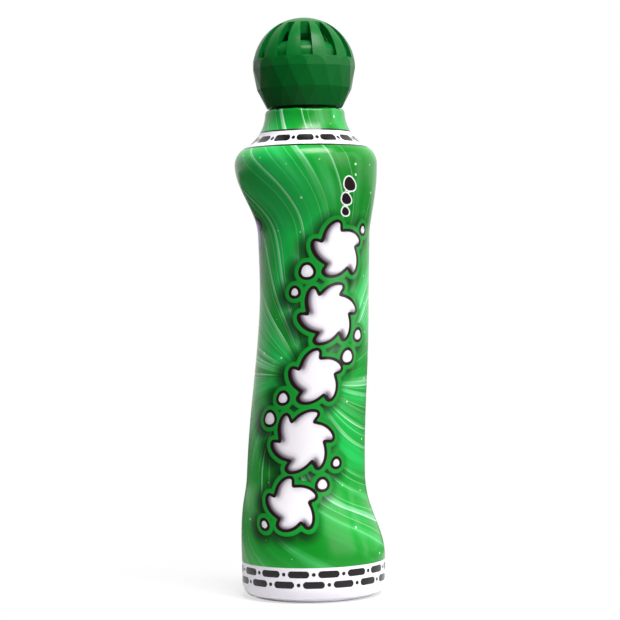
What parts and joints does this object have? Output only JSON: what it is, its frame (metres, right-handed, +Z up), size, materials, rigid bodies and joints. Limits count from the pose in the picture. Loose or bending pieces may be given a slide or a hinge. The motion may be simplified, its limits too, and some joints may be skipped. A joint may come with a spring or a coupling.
{
  "type": "bingo dauber",
  "caption": "Ink dauber for marking bingo cards: a twisted squeeze bottle in a marbled green sleeve, a sprung foam tip with a valve, and a faceted, slotted ball cap that screws on.",
  "frame": {"origin": "centre of the standing ring under the foot", "axes": "+Z up along the bottle's axis through foot, neck and cap; -Y towards the viewer of the picture, +X to the viewer's right"},
  "size_m": [0.038, 0.038, 0.1531],
  "materials": {
    "bottle_plastic": "satin white polyethylene",
    "sleeve_film": "glossy printed shrink film",
    "ink": "liquid",
    "valve_plastic": "satin moulded",
    "valve_rubber": "matt",
    "spring_steel": "drawn wire",
    "tip_foam": "open foam, stained with ink",
    "tip_cloth": "fine knit, stained with ink",
    "cap_plastic": "satin moulded polypropylene",
    "seal_foam": "matt"
  },
  "bodies": {
    "bottle": {"bottle": "bottle_plastic", "shrink_sleeve": "sleeve_film", "ink": "ink", "valve_housing": "valve_plastic", "valve_spring": "spring_steel"},
    "tip": {"tip_carrier": "valve_plastic", "foam_pad": "tip_foam", "tip_cloth": "tip_cloth", "cloth_ring": "valve_plastic", "valve_stem": "valve_plastic", "valve_washer": "valve_rubber"},
    "seal": {"cap_seal": "seal_foam"},
    "cap": {"cap_body": "cap_plastic", "cap_crown": "cap_plastic"}
  },
  "joints": [
    {"name": "tip_press", "type": "slide", "parent": "bottle", "child": "tip", "axis": [0, 0, -1], "range_m": [0, 0.002], "stiffness_N_per_m": 300, "springref_m": -0.002, "deforming": ["valve_spring"]},
    {"name": "cap_lift", "type": "slide", "parent": "bottle", "child": "seal", "axis": [0, 0, 1], "range_m": [0, 0.0301]},
    {"name": "cap_turn", "type": "hinge", "parent": "seal", "child": "cap", "pos_m": [0, 0, 0.1291], "axis": [0, 0, 1], "range_deg": [0, 3600]}
  ],
  "couplings": [
    {"joint": "cap_lift", "follows": "cap_turn", "m_per_rad": 0.00047746}
  ]
}
